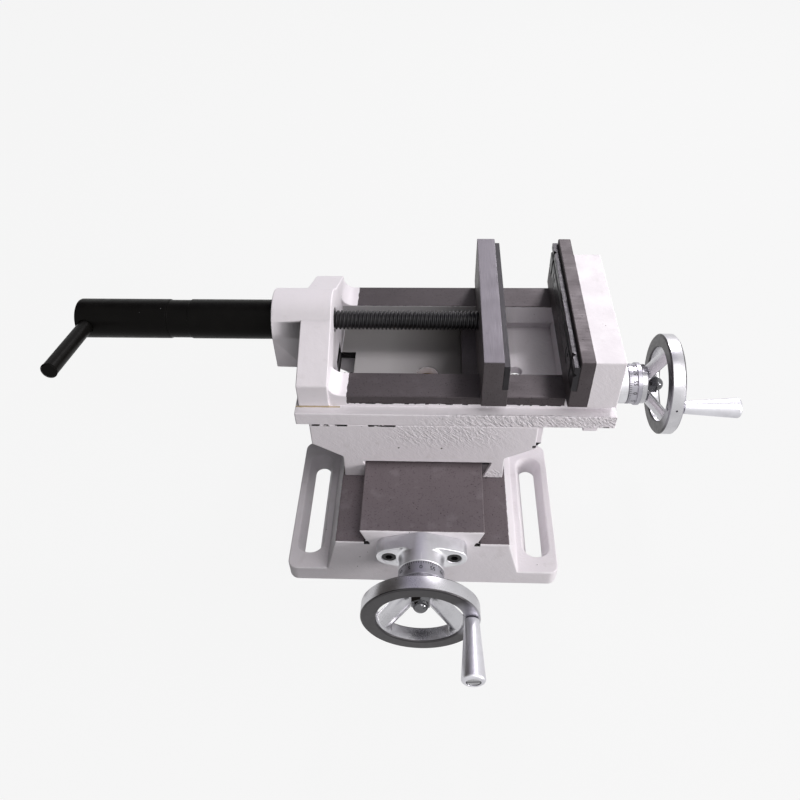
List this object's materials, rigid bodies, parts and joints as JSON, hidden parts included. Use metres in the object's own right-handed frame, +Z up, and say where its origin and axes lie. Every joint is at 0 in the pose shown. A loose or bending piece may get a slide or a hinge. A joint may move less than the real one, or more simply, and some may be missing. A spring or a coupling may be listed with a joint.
{
  "type": "cross slide vise",
  "caption": "Cross slide vise: a screw vise on crossed dovetail slides, with a slotted base, dialled handwheels with revolving grips, and a long sleeve with a handle bar.",
  "frame": {"origin": "middle of the base's underside", "axes": "+X along the jaw travel towards the fixed jaw, +Y from the front handwheel to the rear, +Z up"},
  "size_m": [0.5201, 0.3199, 0.1781],
  "materials": {
    "painted_iron": "white paint over rough casting, ways machined bare",
    "machined_iron": "machined cast iron",
    "black_steel": "black oxide",
    "screw_steel": "turned steel",
    "aluminium": "polished and turned",
    "bronze": "machined bronze",
    "chrome": "dark chrome"
  },
  "bodies": {
    "base": {"base": "painted_iron", "front_bracket": "aluminium", "front_bracket_screws": "black_steel"},
    "y_screw": {"y_lead_screw": "screw_steel", "y_dial": "aluminium", "y_handwheel": "aluminium", "y_wheel_washer": "screw_steel", "y_wheel_nut": "chrome", "y_handle_spindle": "screw_steel"},
    "y_grip": {"y_handle_grip": "aluminium"},
    "saddle": {"saddle": "painted_iron", "y_nut": "bronze", "y_nut_screw": "black_steel", "y_gib": "screw_steel", "y_gib_screws": "black_steel", "x_nut": "bronze", "x_nut_screws": "black_steel", "x_gib": "screw_steel", "x_gib_screws": "black_steel"},
    "vise": {"vise_body": "painted_iron", "fixed_jaw_plate": "black_steel", "fixed_jaw_plate_screws": "black_steel", "x_bracket": "aluminium", "x_bracket_screws": "black_steel", "sleeve_retaining_screw": "black_steel"},
    "x_screw": {"x_lead_screw": "screw_steel", "x_dial": "aluminium", "x_handwheel": "aluminium", "x_wheel_washer": "screw_steel", "x_wheel_nut": "chrome", "x_handle_spindle": "screw_steel"},
    "x_grip": {"x_handle_grip": "aluminium"},
    "jaw": {"moving_jaw": "machined_iron", "moving_jaw_plate": "black_steel", "moving_jaw_plate_screws": "black_steel", "jaw_screw": "black_steel", "jaw_screw_pin": "screw_steel", "jaw_keeper": "machined_iron", "jaw_keeper_screws": "black_steel"},
    "sleeve": {"screw_sleeve": "black_steel", "handle_bar": "black_steel", "bar_set_screw": "black_steel"}
  },
  "joints": [
    {"name": "y_screw_spin", "type": "hinge", "parent": "base", "child": "y_screw", "pos_m": [0, -0.0655, 0.052], "axis": [0, 1, 0], "range_deg": [-1442, 4442]},
    {"name": "y_grip_spin", "type": "hinge", "parent": "y_screw", "child": "y_grip", "pos_m": [0.03521, -0.14, 0.0557], "axis": [0, 1, 0], "continuous": true},
    {"name": "saddle_slide", "type": "slide", "parent": "base", "child": "saddle", "axis": [0, 1, 0], "range_m": [-0.037, 0.012]},
    {"name": "vise_slide", "type": "slide", "parent": "saddle", "child": "vise", "axis": [1, 0, 0], "range_m": [-0.038, 0.06]},
    {"name": "x_screw_spin", "type": "hinge", "parent": "vise", "child": "x_screw", "pos_m": [0.14145, 0.073, 0.0869], "axis": [1, 0, 0], "range_deg": [-4562, 7202]},
    {"name": "x_grip_spin", "type": "hinge", "parent": "x_screw", "child": "x_grip", "pos_m": [0.22, 0.03851, 0.09486], "axis": [1, 0, 0], "continuous": true},
    {"name": "jaw_slide", "type": "slide", "parent": "vise", "child": "jaw", "axis": [1, 0, 0], "range_m": [-0.095, 0.043]},
    {"name": "sleeve_spin", "type": "hinge", "parent": "vise", "child": "sleeve", "pos_m": [-0.2, 0.073, 0.15295], "axis": [1, 0, 0], "range_deg": [-11402, 5162]}
  ],
  "couplings": [
    {"joint": "y_screw_spin", "follows": "saddle_slide", "rad_per_m": -2094.4},
    {"joint": "x_screw_spin", "follows": "vise_slide", "rad_per_m": 2094.4},
    {"joint": "sleeve_spin", "follows": "jaw_slide", "rad_per_m": 2094.4}
  ]
}
